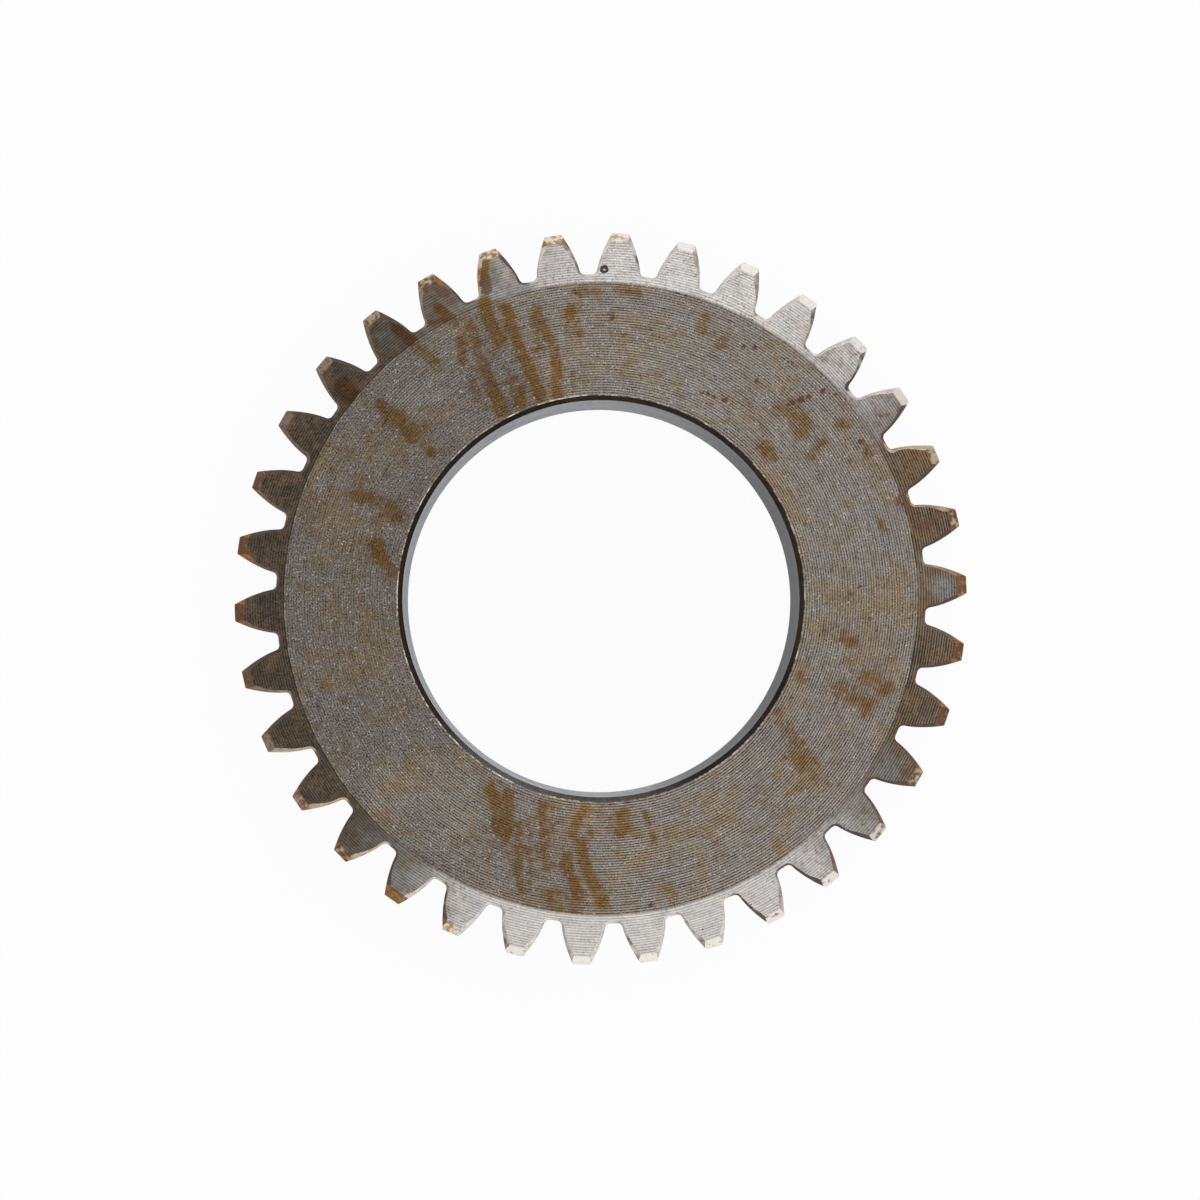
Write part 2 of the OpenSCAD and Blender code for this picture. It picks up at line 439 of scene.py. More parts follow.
def build_end(skin, flank, side, random):
    """One end of the gear, from the bore's mouth to the broken tooth edges.

    Returns the ring where the bore wall starts and the closed loop where the tooth walls start."""
    angles = ring_angles(flank.root_angle)
    bore_ring, step_ring = build_turned(skin, angles, side)

    # Inner edge, middle and outer edge of the breaks, with the tip's rows kept at their radius
    turn = np.arange(TEETH)[:, None, None] * PITCH
    place, into, cut = break_edges(flank, turn, side, random)
    inner_xy = place + into * cut[..., None]
    inner_xy[:, :, TIP_ROW:] *= (flank.radius / np.linalg.norm(inner_xy, axis=-1))[:, :, TIP_ROW:, None]
    inner_r = np.linalg.norm(inner_xy, axis=-1)
    inner_z = end_height(inner_r)
    bulge = BREAK_BULGE * cut
    middle_xy = place + into * (cut / 2 - bulge)[..., None]
    inner = skin.add(inner_xy, side * inner_z)
    middle = skin.add(middle_xy, side * (inner_z - cut / 2 + bulge))
    outer = skin.add(place, side * (inner_z - cut))

    # The same three rows across the roots of the gaps
    gap_angles = angles.reshape(TEETH, -1)[:, TOOTH_COLUMNS + 1:]
    gap_cut = (cut[:, 1, 0] + np.roll(cut[:, 0, 0], -1))[:, None] / 2 * np.ones(gap_angles.shape)
    gap_r = ROOT_R - gap_cut
    gap_z = end_height(gap_r)
    gap_inner = skin.add(polar(gap_r, gap_angles), side * gap_z)
    gap_middle = skin.add(polar(ROOT_R - gap_cut / 2, gap_angles), side * (gap_z - gap_cut / 2))
    gap_outer = skin.add(polar(np.full(gap_r.shape, ROOT_R), gap_angles), side * (gap_z - gap_cut))

    # Points between the two flanks of each tooth
    share = np.linspace(0, 1, TOOTH_COLUMNS + 1)[None, None, 1:-1]
    local = rotated(inner_xy, -turn)
    inner_angle = np.arctan2(local[..., 1], local[..., 0])
    r0, r1 = inner_r[:, 0, :, None], inner_r[:, 1, :, None]
    a0, a1 = inner_angle[:, 0, :, None], inner_angle[:, 1, :, None]
    between_r = r0 + (r1 - r0) * share
    between_a = a0 + (a1 - a0) * share + turn
    between = skin.add(polar(between_r, between_a), side * end_height(between_r))
    tooth_grid = np.concatenate([inner[:, 0, :, None], between, inner[:, 1, :, None]], 2)

    # Rim from the step out to the neck of the teeth
    neck = np.concatenate([tooth_grid[:, 0, :], gap_inner], 1).ravel()
    neck_r = np.linalg.norm(np.concatenate(skin.points)[neck][:, :2], axis=1)
    rim_rings = []
    for part in RIM_FRACTIONS:
        r = THRUST_R + (neck_r - THRUST_R) * part
        rim_rings.append(skin.add(polar(r, angles), side * end_height(r)))
    skin.sheet([step_ring] + rim_rings + [neck], RIM, wrap=True)

    # Tooth ends, tip chamfers and edge breaks
    loops = []
    for k in range(TEETH):
        skin.sheet(tooth_grid[k, :TIP_ROW + 1], RIM)
        skin.sheet(tooth_grid[k, TIP_ROW:], TIP)
        after = (k + 1) % TEETH
        strip = [
            np.concatenate([edge[k, 1, ::-1], gap[k], edge[after, 0]])
            for edge, gap in ((inner, gap_inner), (middle, gap_middle), (outer, gap_outer))
        ]
        skin.sheet(strip, BREAK)
        loops.append(np.concatenate([outer[k, 0], between[k, -1], outer[k, 1, ::-1], gap_outer[k]]))
    return bore_ring, np.concatenate(loops)


def build_walls(skin, front, back, zone, fractions):
    """A wall between two loops of points that lie above each other."""
    points = np.concatenate(skin.points)
    rows = [front]
    for part in fractions:
        place = points[front] * (1 - part) + points[back] * part
        rows.append(skin.add(place[:, :2], place[:, 2]))
    skin.sheet(rows + [back], zone, wrap=True)


def gear_mesh():
    """The whole surface as one mesh, in metres, with a material number on each face."""
    random = np.random.RandomState(SEED)
    skin, flank = Skin(), Flank()
    front_bore, front_loop = build_end(skin, flank, 1, random)
    back_bore, back_loop = build_end(skin, flank, -1, random)
    build_walls(skin, front_bore, back_bore, WALL, BORE_FRACTIONS)
    build_walls(skin, front_loop, back_loop, FLANK, FLANK_FRACTIONS)
    points = np.concatenate(skin.points) + np.array([0, 0, HALF_WIDTH])
    faces = np.concatenate(skin.faces)
    mesh = bpy.data.meshes.new("gear_surface")
    mesh.from_pydata((points * MM).tolist(), [], faces.tolist())
    mesh.polygons.foreach_set("material_index", np.concatenate(skin.zones).astype(np.int32))
    shape = bmesh.new()
    shape.from_mesh(mesh)
    bmesh.ops.remove_doubles(shape, verts=shape.verts, dist=MERGE)
    bmesh.ops.recalc_face_normals(shape, faces=shape.faces)
    shape.to_mesh(mesh)
    shape.free()
    mesh.polygons.foreach_set("use_smooth", np.ones(len(mesh.polygons), bool))
    mesh.set_sharp_from_angle(angle=SHARP_ANGLE)
    return mesh


class Graph:
    """The nodes of a material or of the world, with short calls for the sums in them."""

    def __init__(self, owner):
        self.owner = owner
        owner.use_nodes = True
        self.tree = owner.node_tree
        self.tree.nodes.clear()

    def node(self, kind, sockets=None, **settings):
        made = self.tree.nodes.new(kind)
        for name, value in settings.items():
            setattr(made, name, value)
        for key, value in (sockets or {}).items():
            self.feed(made.inputs[key], value)
        return made

    def feed(self, socket, value):
        if isinstance(value, bpy.types.NodeSocket):
            self.tree.links.new(value, socket)
        elif value is not None:
            socket.default_value = value

    def maths(self, operation, a, b=None, c=None, clamp=False):
        made = self.node("ShaderNodeMath", operation=operation, use_clamp=clamp)
        for socket, value in zip(made.inputs, (a, b, c)):
            self.feed(socket, value)
        return made.outputs[0]

    def total(self, *values, clamp=False):
        result = values[0]
        for value in values[1:]:
            result = self.maths("ADD", result, value)
        return self.maths("ADD", result, 0.0, clamp=clamp) if clamp else result

    def product(self, *values):
        result = values[0]
        for value in values[1:]:
            result = self.maths("MULTIPLY", result, value)
        return result

    def sway(self, value, amount):
        """How far a 0 to 1 value lies from its middle, times an amount."""
        return self.maths("MULTIPLY", self.maths("SUBTRACT", value, 0.5), amount)

    def vector(self, operation, a, b=None, scale=None):
        made = self.node("ShaderNodeVectorMath", operation=operation)
        self.feed(made.inputs[0], a)
        if b is not None:
            self.feed(made.inputs[1], b)
        if scale is not None:
            self.feed(made.inputs["Scale"], scale)
        return made.outputs["Value" if operation in ("LENGTH", "DISTANCE", "DOT_PRODUCT") else "Vector"]

    def mix(self, factor, a, b, blend="MIX"):
        """A colour between two others. The node's colour sockets are inputs 6 and 7 and output 2."""
        made = self.node("ShaderNodeMix", data_type="RGBA", blend_type=blend)
        self.feed(made.inputs[0], factor)
        self.feed(made.inputs[6], a)
        self.feed(made.inputs[7], b)
        return made.outputs[2]

    def tinted(self, factor, colour, tint):
        """A colour multiplied by a tint, as far as the factor says."""
        return self.mix(factor, colour, self.mix(1.0, colour, tint, "MULTIPLY"))

    def noise(self, vector, scale, detail=2.0, roughness=0.5):
        sockets = {"Vector": vector, "Scale": scale, "Detail": detail, "Roughness": roughness}
        return self.node("ShaderNodeTexNoise", sockets).outputs["Fac"]

    def span(self, value, low, high, to_low=0.0, to_high=1.0):
        """Eases a value from one range to another."""
        made = self.node("ShaderNodeMapRange", interpolation_type="SMOOTHSTEP")
        for socket, number in zip(made.inputs, (value, low, high, to_low, to_high)):
            self.feed(socket, number)
        return made.outputs[0]

    def painted(self, name):
        """A value that the mesh carries at its points."""
        return self.node("ShaderNodeAttribute", attribute_name=name).outputs["Fac"]

    def seen(self):
        """1 where the camera, a reflection or glass looks at the surface, 0 where light falls on it."""
        path = self.node("ShaderNodeLightPath").outputs
        mirrored = self.maths("MAXIMUM", path["Is Glossy Ray"], path["Is Transmission Ray"])
        return self.maths("MAXIMUM", path["Is Camera Ray"], mirrored)


def rgb(red, green, blue):
    """A colour as seen on screen, 0 to 255, turned into the linear values that shaders use."""
    def linear(level):
        level /= 255
        return level / 12.92 if level <= 0.04045 else ((level + 0.055) / 1.055) ** 2.4
    return (linear(red), linear(green), linear(blue), 1.0)


class Steel(Graph):
    """Old steel: lathe marks round the axis, patina, specks, pits and rust, on a metal shader."""

    def __init__(self, name):
        super().__init__(bpy.data.materials.new(name))
        place = self.node("ShaderNodeTexCoord").outputs["Object"]
        self.mm = self.vector("SCALE", place, scale=1 / MM)
        self.flat = self.vector("MULTIPLY", self.mm, (1.0, 1.0, 0.0))
        self.radius = self.vector("LENGTH", self.flat)
        self.heading = self.vector("NORMALIZE", self.flat)

    def level(self):
        """Height above the back face, in mm."""
        return self.node("ShaderNodeSeparateXYZ", {0: self.mm}).outputs["Z"]

    def front(self):
        """1 on the front half of the gear and 0 on the back."""
        return self.maths("GREATER_THAN", self.level(), HALF_WIDTH)

    def towards(self, degrees):
        """From 1 at that compass direction of the photograph to -1 on the opposite side."""
        angle = math.radians(degrees) - TOOTH_TURN
        direction = (math.cos(angle), math.sin(angle), 0.0)
        return self.vector("DOT_PRODUCT", self.heading, direction)

    def along_z(self, value, scale):
        """A vector along Z whose length is the value times a scale."""
        return self.node("ShaderNodeCombineXYZ", {"Z": self.maths("MULTIPLY", value, scale)}).outputs[0]

    def round_place(self, turns, steps, value=None):
        """Noise coordinates that run round the axis without a seam, and change with the radius or a value."""
        out = self.along_z(self.radius if value is None else value, steps)
        return self.vector("ADD", self.vector("SCALE", self.heading, scale=turns), out)

    def marks(self, feed, wander=5.0):
        """Even grooves of the lathe tool, 0 to 1, that waver a little on their way round."""
        slow = self.noise(self.round_place(2.5, 0.25), 1.0)
        turned = self.maths("MULTIPLY", self.radius, 2 * math.pi / feed)
        phase = self.total(turned, self.product(slow, wander))
        return self.maths("MULTIPLY_ADD", self.maths("SINE", phase), 0.5, 0.5)

    def specks(self, scale, size, share):
        """Small round spots of that radius in mm, in a share of the cells of a grid, scale cells to a mm."""
        cells = self.node("ShaderNodeTexVoronoi", {"Vector": self.mm, "Scale": scale})
        lot = self.node("ShaderNodeSeparateColor", {0: cells.outputs["Color"]}).outputs[0]
        near = self.span(cells.outputs["Distance"], size * scale, size * scale * 0.55)
        return self.product(near, self.maths("LESS_THAN", lot, share))

    def distance_to(self, marks, ragged):
        """Distance to the nearest of some marks, in their own half widths. The edges waver by so many mm."""
        sockets = {"Vector": self.mm, "Scale": 2.0, "Detail": 3.0}
        rough = self.node("ShaderNodeTexNoise", sockets).outputs["Color"]
        waver = self.vector("SUBTRACT", rough, (0.5, 0.5, 0.5))
        place = self.vector("ADD", self.flat, self.vector("MULTIPLY", waver, (ragged, ragged, 0.0)))
        nearest = FAR
        for half_width, x, y in marks:
            away = self.vector("DISTANCE", place, (*from_photo(x, y), 0.0))
            nearest = self.maths("MINIMUM", nearest, self.maths("DIVIDE", away, half_width * MM_PER_PX))
        return nearest

    def spots(self):
        """The small dark marks of the front, 0 to 1."""
        return self.product(self.span(self.distance_to(SPOTS, 1.1), 1.8, 0.9), self.front())

    def finish(self, colour, metallic, roughness, height, depth, anisotropic=0.0, gloss=0.5):
        """Joins the colour and the bump to the shader. The bump's depth is in millimetres."""
        bump = self.node(
            "ShaderNodeBump", {"Strength": BUMP_STRENGTH, "Distance": depth * MM, "Height": height})
        sockets = {
            "Base Color": colour,
            "Metallic": metallic,
            "Roughness": roughness,
            "Specular IOR Level": gloss,
            "Normal": bump.outputs[0],
            "Anisotropic": anisotropic,
            "Anisotropic Rotation": HIGHLIGHT_TURN if anisotropic else 0.0,
        }
        shader = self.node("ShaderNodeBsdfPrincipled", sockets)
        if anisotropic:
            tangent = self.node("ShaderNodeTangent", direction_type="RADIAL", axis="Z")
            self.feed(shader.inputs["Tangent"], tangent.outputs[0])
        self.node("ShaderNodeOutputMaterial", {"Surface": shader.outputs[0]})
        return self.owner


def thrust_material():
    """Raised thrust face: strong grooves, grey with warm patches, ochre stains, marks and pits, with painted
    light on the right and bottom, painted shade on the left and painted glints.
    """
    g = Steel("thrust_face")
    groove = g.marks(FEED)
    broken = g.noise(g.round_place(14.0, 2.2), 1.0, 1.0, 0.5)
    grain = g.noise(g.mm, 4.0, 1.0, 0.5)
    mottle = g.noise(g.mm, 1.2, 3.0, 0.6)
    patch = g.noise(g.mm, 0.13, 4.0, 0.6)
    blotch = g.noise(g.mm, 0.5, 4.0, 0.62)
    # Painted light: the grooves are painted into the colour more strongly on the right and at the bottom, and
    # the face is darker and grainier on the left
    painted_light_and_grain = g.span(g.total(g.towards(0), g.sway(g.noise(g.mm, 0.06, 1.0), 2.5)), -1.0, 0.2, 0.4, 1.0)
    painted_groove_shade_bottom = g.span(g.towards(285), 0.2, 0.9, 1.0, 1.3)
    lines = g.product(g.sway(groove, 0.48), painted_light_and_grain, painted_groove_shade_bottom)
    rough = g.product(g.sway(grain, 1.5), g.maths("MULTIPLY_ADD", painted_light_and_grain, -0.5, 1.28))
    # Painted shade: the tone sinks towards the left
    painted_shade = g.maths("MULTIPLY_ADD", painted_light_and_grain, 0.19, 0.26)
    tone = g.total(lines, g.sway(broken, 0.4), rough, g.sway(patch, 0.2), painted_shade, clamp=True)
    dark = g.mix(painted_light_and_grain, rgb(62, 57, 54), rgb(27, 24, 22))
    colour = g.mix(tone, dark, g.mix(painted_light_and_grain, rgb(140, 136, 132), rgb(168, 163, 158)))
    warmth = g.span(g.total(patch, g.sway(blotch, 0.7)), 0.44, 0.68)
    colour = g.mix(1.0, colour, g.mix(warmth, COOL, WARM), "MULTIPLY")

    # Stains tint the grooves under them, rust covers them
    ragged = g.total(g.painted("stain"), g.sway(blotch, 1.1), g.sway(mottle, 1.6), g.sway(grain, 1.4))
    stain = g.span(ragged, 0.08, 0.95)
    colour = g.tinted(stain, colour, OCHRE)
    rust = g.span(g.total(g.painted("rust"), g.sway(blotch, 1.1), g.sway(grain, 1.1)), 0.2, 0.55)
    freckle = g.span(g.noise(g.mm, 0.95, 3.0, 0.65), 0.61, 0.71)
    freckle = g.product(freckle, g.span(patch, 0.42, 0.6), g.span(g.towards(5), -0.6, 0.5, 0.35, 0.9))
    rust = g.maths("MAXIMUM", g.maths("MAXIMUM", rust, freckle), g.spots())
    colour = g.mix(g.product(rust, 0.95), colour, g.mix(tone, rgb(34, 16, 5), rgb(118, 66, 22)))

    # Painted glints as bright specks, and dark pits
    painted_glint = g.product(g.span(g.noise(g.mm, 4.3, 0.0), 0.71, 0.84), g.maths("MULTIPLY_ADD", stain, -0.3, 0.55))
    colour = g.mix(painted_glint, colour, rgb(206, 204, 200))
    pit = g.specks(0.5, 0.16, 0.3)
    colour = g.mix(g.product(pit, 0.8), colour, rgb(22, 16, 12))
    dull = g.total(g.product(stain, 0.2), rust, pit, clamp=True)
    height = g.total(g.product(groove, 0.8), g.sway(broken, 0.8), g.sway(grain, 0.7), g.product(pit, -2.5))
    metallic = g.maths("MULTIPLY_ADD", dull, -0.8, 0.8)
    return g.finish(colour, metallic, g.maths("MULTIPLY_ADD", dull, 0.3, 0.44), height, 0.012, 0.4)


def tooth_end_material():
    """Sloping ends of the teeth: finer marks, pale with a painted highlight at the top and bottom, under a
    brown film with painted shade elsewhere.
    """
    g = Steel("tooth_end")
    groove = g.marks(FEED, 4.0)
    broken = g.noise(g.round_place(18.0, 2.4), 1.0, 1.0, 0.5)
    grain = g.noise(g.mm, 3.2, 1.0, 0.5)
    patch = g.noise(g.mm, 0.34, 4.0, 0.62)
    smooth = g.span(g.towards(275), 0.8, 0.98, 1.0, 0.5)
    uneven = g.product(g.total(g.sway(grain, 0.8), g.sway(patch, 0.6)), smooth)
    tone = g.total(g.sway(groove, 0.32), g.sway(broken, 0.25), uneven, 0.48, clamp=True)
    # The film value is brown film and also painted shade on the left and painted highlight at the top and
    # bottom
    film_and_shade = g.total(g.painted("film_and_shade"), g.sway(patch, 0.9), g.sway(grain, 0.4))
    # Pale where the film value is low, which paints the highlights on the teeth at the top and bottom
    colour = g.mix(tone, rgb(90, 85, 80), rgb(226, 224, 221))
    colour = g.mix(g.span(film_and_shade, 0.1, 0.5), colour, g.mix(tone, rgb(32, 32, 32), rgb(168, 166, 163)))
    mottle = g.noise(g.mm, 0.8, 3.0, 0.6)
    fleck = g.noise(g.mm, 1.3, 3.0, 0.65)
    fleck = g.product(g.span(fleck, 0.5, 0.66), g.span(g.painted("film_and_shade"), 0.02, 0.3, 0.25, 0.85))
    colour = g.tinted(fleck, colour, FLECK)

    # The film is even and darker on the left; on the right it is thin and lets the grooves through, and its
    # brown is painted lighter there as light from the right
    thin_and_lit = g.span(g.towards(0), -0.6, 0.7)
    coarse = g.maths("MULTIPLY_ADD", thin_and_lit, -0.15, 0.6)
    dirt = g.total(tone, g.product(g.sway(tone, 0.9), coarse), g.product(g.sway(mottle, 0.9), coarse))
    lines = g.total(g.sway(groove, 0.5), g.sway(broken, 0.6))
    dirt = g.total(dirt, g.product(lines, thin_and_lit), clamp=True)
    brown = g.mix(dirt, rgb(22, 18, 13), g.mix(thin_and_lit, rgb(94, 80, 63), rgb(124, 107, 84)))
    ochre = g.span(g.total(mottle, g.sway(patch, 1.2)), 0.46, 0.66)
    ochre = g.product(ochre, g.span(g.towards(10), 0.2, 0.9, 0.3, 0.9))
    brown = g.mix(ochre, brown, g.mix(dirt, rgb(32, 21, 10), rgb(124, 98, 62)))
    colour = g.mix(g.span(film_and_shade, 0.4, 0.85), colour, brown)
    film_and_shade = g.span(film_and_shade, 0.15, 0.85)

    # Stains, rust, the ring-shaped pit and other pits
    stain = g.span(g.total(g.painted("stain"), g.sway(patch, 0.8), g.sway(grain, 0.4)), 0.1, 0.7)
    colour = g.tinted(stain, colour, OCHRE)
    speckle = g.span(g.noise(g.mm, 1.9, 2.0, 0.6), 0.66, 0.74)
    rust = g.span(g.total(g.painted("rust"), g.sway(patch, 1.8), g.sway(grain, 0.8)), 0.35, 0.8)
    rust = g.maths("MAXIMUM", g.product(rust, 0.85), g.product(speckle, 0.5))
    colour = g.mix(rust, colour, g.mix(tone, rgb(36, 19, 9), rgb(118, 78, 44)))
    (x, y), pit_radius = RING_PIT
    away = g.distance_to([(pit_radius, x, y)], 0.25)
    ring = g.maths("ABSOLUTE", g.maths("SUBTRACT", away, 1.0))
    ring = g.product(g.span(ring, 0.8, 0.4), g.front())
    pit = g.maths("MAXIMUM", g.specks(0.55, 0.16, 0.3), ring)
    colour = g.mix(g.product(pit, 0.95), colour, rgb(18, 13, 10))
    dull = g.total(g.product(film_and_shade, 0.35), rust, pit, clamp=True)
    height = g.total(g.product(groove, 0.6), g.sway(broken, 0.5), g.sway(grain, 0.8), g.product(pit, -2.5))
    metallic = g.maths("MULTIPLY_ADD", dull, -0.8, 0.9)
    return g.finish(colour, metallic, g.maths("MULTIPLY_ADD", dull, 0.3, 0.36), height, 0.01, 0.5)


def tip_material():
    """Chamfered tips: cream to near white where bare, which paints their highlight at the top and bottom,
    grey-brown painted shade on the left, orange to brown where they rust.
    """
    g = Steel("tip_chamfer")
    grain = g.noise(g.mm, 2.4, 3.0, 0.7)
    patch = g.noise(g.mm, 1.05, 3.0, 0.6)
    tone = g.total(g.sway(grain, 1.6), g.sway(patch, 0.8), 0.5, clamp=True)
    film_and_shade = g.painted("film_and_shade")
    cream = g.mix(tone, rgb(186, 160, 118), rgb(246, 230, 200))
    # Near white where the film value is low: a painted highlight
    bare_and_lit = g.mix(g.span(film_and_shade, 0.3, 0.75), g.mix(tone, rgb(234, 226, 212), rgb(255, 254, 252)), cream)
    orange = g.mix(tone, rgb(146, 88, 26), rgb(224, 172, 90))
    brown = g.mix(tone, rgb(48, 26, 5), rgb(122, 78, 28))
    pale = g.mix(tone, rgb(92, 68, 42), rgb(166, 138, 100))
    orange = g.mix(g.span(g.towards(300), 0.4, 0.9, 0.0, 0.75), orange, pale)
    rusty = g.mix(g.span(g.total(film_and_shade, g.sway(patch, 0.6)), 0.2, 0.75), orange, brown)
    rust = g.span(g.total(g.painted("rust"), g.sway(patch, 2.0), g.sway(grain, 0.8)), 0.35, 0.75)
    # Painted shade: grey-brown over the tips on the left
    cover_and_shade = g.product(film_and_shade, g.span(g.towards(172), 0.55, 0.95, 0.45, 0.95))
    colour = g.mix(cover_and_shade, bare_and_lit, g.mix(tone, rgb(66, 55, 45), rgb(122, 107, 90)))
    colour = g.mix(rust, colour, rusty)
    height = g.total(g.sway(grain, 1.0), g.sway(patch, 1.0))
    metallic = g.maths("MULTIPLY_ADD", rust, -0.2, 0.25)
    return g.finish(colour, metallic, g.maths("MULTIPLY_ADD", rust, 0.3, 0.42), height, 0.02)


def edge_material():
    """Broken edges: bright where handling rubbed them and painted brighter towards the upper right and lower
    left, brown under the film, which also paints shade.
    """
    g = Steel("edge_break")
    grain = g.noise(g.mm, 2.2, 3.0, 0.7)
    patch = g.noise(g.mm, 0.5, 3.0, 0.6)
    tone = g.total(g.sway(grain, 1.6), g.sway(patch, 0.8), 0.5, clamp=True)
    cream = g.mix(tone, rgb(136, 114, 84), rgb(238, 222, 194))
    colour = g.mix(tone, rgb(172, 160, 142), rgb(250, 246, 238))
    colour = g.mix(g.span(g.painted("film_and_shade"), 0.3, 0.75), colour, cream)
    facing = g.node("ShaderNodeTexCoord").outputs["Normal"]
    facing = g.node("ShaderNodeSeparateXYZ", {0: g.vector("CROSS_PRODUCT", g.heading, facing)}).outputs["Z"]
    grimy = g.span(facing, 0.2, -0.2)
    # Painted highlight: the edges stay bare and bright towards the upper right and lower left
    bare_and_lit = g.maths("MAXIMUM", g.span(g.towards(50), 0.6, 0.95), g.span(g.towards(226), 0.78, 0.95))
    cover_and_shade = g.maths("MAXIMUM", grimy, g.maths("SUBTRACT", 1.0, bare_and_lit))
    film_and_shade = g.product(g.painted("film_and_shade"), g.maths("MULTIPLY_ADD", cover_and_shade, 0.65, 0.35))
    lower_right = g.span(g.towards(325), 0.75, 0.97, 0.0, 0.45)
    film_and_shade = g.total(film_and_shade, g.product(grimy, 0.42), lower_right, g.sway(patch, 1.4), g.sway(grain, 0.5))
    film_and_shade = g.span(film_and_shade, 0.2, 0.85)
    light_brown = g.mix(tone, rgb(58, 46, 36), rgb(140, 118, 94))
    dark_brown = g.mix(tone, rgb(34, 26, 19), rgb(98, 80, 60))
    brown = g.mix(g.maths("MAXIMUM", grimy, lower_right), light_brown, dark_brown)
    colour = g.mix(film_and_shade, colour, brown)
    rust = g.span(g.total(g.painted("rust"), g.sway(patch, 1.3), g.sway(grain, 0.6)), 0.4, 0.75)
    colour = g.mix(rust, colour, g.mix(tone, rgb(70, 34, 10), rgb(190, 124, 56)))
    height = g.total(g.sway(grain, 1.0), g.sway(patch, 1.0))
    dull = g.total(g.product(film_and_shade, 0.5), rust, clamp=True)
    metallic = g.maths("MULTIPLY_ADD", dull, -0.3, 0.35)
    return g.finish(colour, metallic, g.maths("MULTIPLY_ADD", dull, 0.25, 0.4), height, 0.015)


def mouth_material():
    """Chamfer of the bore: brown-black oxide, dull, greyer at the bottom as a painted reflection and darker
    at the upper left as painted shade.
    """
    g = Steel("bore_mouth")
    grain = g.noise(g.mm, 2.2, 3.0, 0.7)
    patch = g.noise(g.mm, 0.2, 3.0, 0.6)
    tone = g.total(g.sway(grain, 1.2), g.sway(patch, 1.4), 0.42, clamp=True)
    colour = g.mix(tone, rgb(24, 17, 11), rgb(64, 53, 42))
    # Painted reflection: greyer at the bottom
    painted_reflection_bottom = g.span(g.towards(258), 0.72, 0.97, 0.0, 0.7)
    colour = g.mix(painted_reflection_bottom, colour, g.mix(tone, rgb(74, 71, 66), rgb(128, 126, 123)))
    # Painted shade: darker at the upper left
    painted_shade_upper_left = g.span(g.towards(150), 0.3, 0.95, 0.0, 0.6)
    colour = g.mix(painted_shade_upper_left, colour, g.mix(tone, rgb(8, 6, 4), rgb(38, 30, 22)))
    return g.finish(colour, 0.2, 0.5, g.sway(grain, 1.0), 0.012, gloss=0.12)


def wall_material():
    """Ground bore: smooth blue-grey steel, with painted shade that darkens its ends and the right, painted
    light at the lower left, and a few black specks.
    """
    g = Steel("bore_wall")
    level = g.level()
    lines = g.noise(g.along_z(level, 3.0), 1.0, 3.0, 0.7)
    streak = g.noise(g.round_place(30.0, 0.15, level), 1.0)
    patch = g.noise(g.mm, 0.12, 3.0, 0.55)
    tone = g.total(g.sway(lines, 0.5), g.sway(streak, 0.5), g.sway(patch, 0.9), 0.5, clamp=True)
    colour = g.mix(tone, rgb(122, 125, 129), rgb(192, 195, 198))
    # Painted shade: darker on the right
    painted_shade = g.span(g.towards(0), -0.1, 0.95, 0.0, 1.0)
    colour = g.mix(painted_shade, colour, g.mix(tone, rgb(62, 63, 65), rgb(106, 107, 109)))
    # Painted light: lighter at the lower left
    painted_light_lower_left = g.span(g.towards(240), 0.5, 1.0, 0.0, 0.9)
    colour = g.mix(painted_light_lower_left, colour, g.mix(tone, rgb(150, 153, 157), rgb(220, 223, 226)))
    # Painted shade: darker bands near both ends of the wall
    edge = g.total(g.span(level, 1.7, 0.9), g.span(level, 2 * HALF_WIDTH - 1.3, 2 * HALF_WIDTH - 0.9))
    colour = g.mix(g.product(edge, 0.75), colour, rgb(48, 44, 40))
    spot = g.specks(0.22, 0.4, 0.12)
    colour = g.mix(spot, colour, rgb(18, 14, 12))
    height = g.total(g.sway(lines, 0.5), g.product(spot, -1.5))
    return g.finish(colour, 0.1, 0.55, height, 0.006, gloss=0.15)


def flank_material():
    """Working sides of the teeth: ground lines along the tooth, grey wear, brown towards the root."""
    g = Steel("tooth_flank")
    lines = g.noise(g.vector("MULTIPLY", g.mm, (3.2, 3.2, 0.05)), 1.0, 2.0, 0.6)
    grain = g.noise(g.mm, 2.4, 3.0, 0.7)
    patch = g.noise(g.mm, 0.22, 4.0, 0.6)
    tone = g.total(g.sway(lines, 1.1), g.sway(grain, 0.8), g.sway(patch, 0.8), 0.5, clamp=True)
    colour = g.mix(tone, rgb(70, 66, 63), rgb(154, 150, 145))
    low = g.span(g.total(g.radius, g.sway(patch, 6.0)), ROOT_R + 3.0, ROOT_R - 0.5)
    colour = g.mix(g.product(low, 0.8), colour, g.mix(tone, rgb(42, 32, 23), rgb(104, 84, 62)))
    blotch = g.noise(g.mm, 0.9, 4.0, 0.65)
    rust = g.total(g.painted("rust"), g.sway(patch, 1.6), g.sway(blotch, 1.6), g.sway(lines, 0.8))
    rust = g.span(rust, 0.5, 1.05)
    colour = g.mix(rust, colour, g.mix(tone, rgb(52, 30, 16), rgb(146, 98, 56)))
    dull = g.total(g.product(low, 0.5), rust, clamp=True)
    height = g.total(g.sway(lines, 1.0), g.sway(grain, 0.7))
    metallic = g.maths("MULTIPLY_ADD", dull, -0.7, 0.85)
    return g.finish(colour, metallic, g.maths("MULTIPLY_ADD", dull, 0.3, 0.36), height, 0.012)


